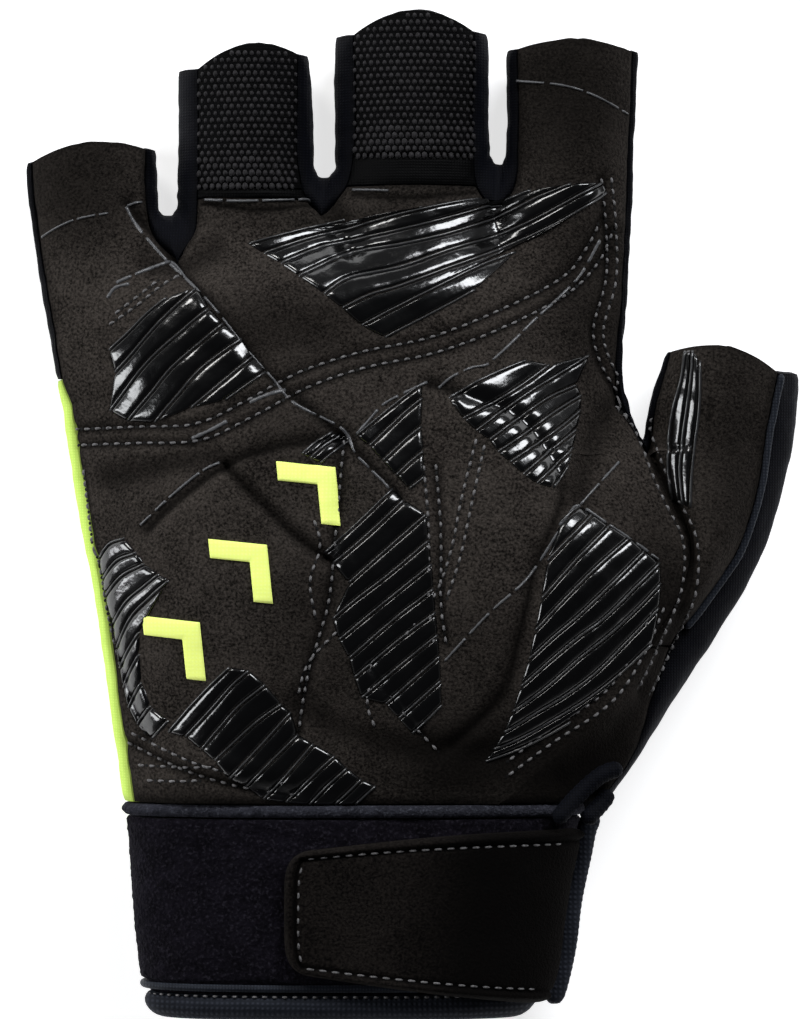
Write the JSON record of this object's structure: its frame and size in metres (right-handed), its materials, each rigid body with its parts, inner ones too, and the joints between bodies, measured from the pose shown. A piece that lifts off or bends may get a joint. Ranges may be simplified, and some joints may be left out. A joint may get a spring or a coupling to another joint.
{
  "type": "cycling glove",
  "caption": "Right-hand half-finger cycling glove with suede palm, grip print, mesh finger panels, stretch webs and a hook-and-loop wrist strap, lying palm up on its back.",
  "frame": {"origin": "centre of the bounding box in X and Y, on the surface that the back of the glove lies on", "axes": "+X to the thumb, +Y to the fingertips, +Z out of the palm"},
  "size_m": [0.1237, 0.1596, 0.0311],
  "materials": {
    "suede": "napped synthetic suede, matt dark brown-grey",
    "knit_mesh": "charcoal spacer knit with open cells",
    "black_elastic": "flat black elastic",
    "stretch_fabric": "navy-black stretch knit, soft sheen",
    "neon_fabric": "neon yellow-green stretch knit",
    "loop_fabric": "dark purple-navy brushed loop fabric",
    "binding": "slate-navy folded edge tape",
    "piping": "thin slate piping with a slight shine",
    "silicone": "glossy black silicone print"
  },
  "bodies": {
    "root": {"palm_panel": "suede", "thumb_panel": "suede", "closure_strap": "suede", "ring_mesh": "knit_mesh", "middle_mesh": "knit_mesh", "ring_band": "black_elastic", "middle_band": "black_elastic", "back_panel": "stretch_fabric", "thumb_side_panel": "stretch_fabric", "little_side_strip": "stretch_fabric", "web_little_ring": "stretch_fabric", "web_ring_middle": "stretch_fabric", "web_middle_index": "stretch_fabric", "web_index_thumb": "stretch_fabric", "neon_side_panel": "neon_fabric", "cuff_band": "loop_fabric", "cuff_top_roll": "binding", "cuff_hem": "binding", "edge_binding": "binding", "binding_fold_upper": "binding", "binding_fold_lower": "binding", "cuff_piping": "piping", "thumb_piping": "piping", "grip_little": "silicone", "grip_fingers": "silicone", "grip_index": "silicone", "grip_centre_upper": "silicone", "grip_centre_lower": "silicone", "grip_heel": "silicone", "grip_thenar": "silicone", "grip_thumb": "silicone"}
  },
  "joints": []
}
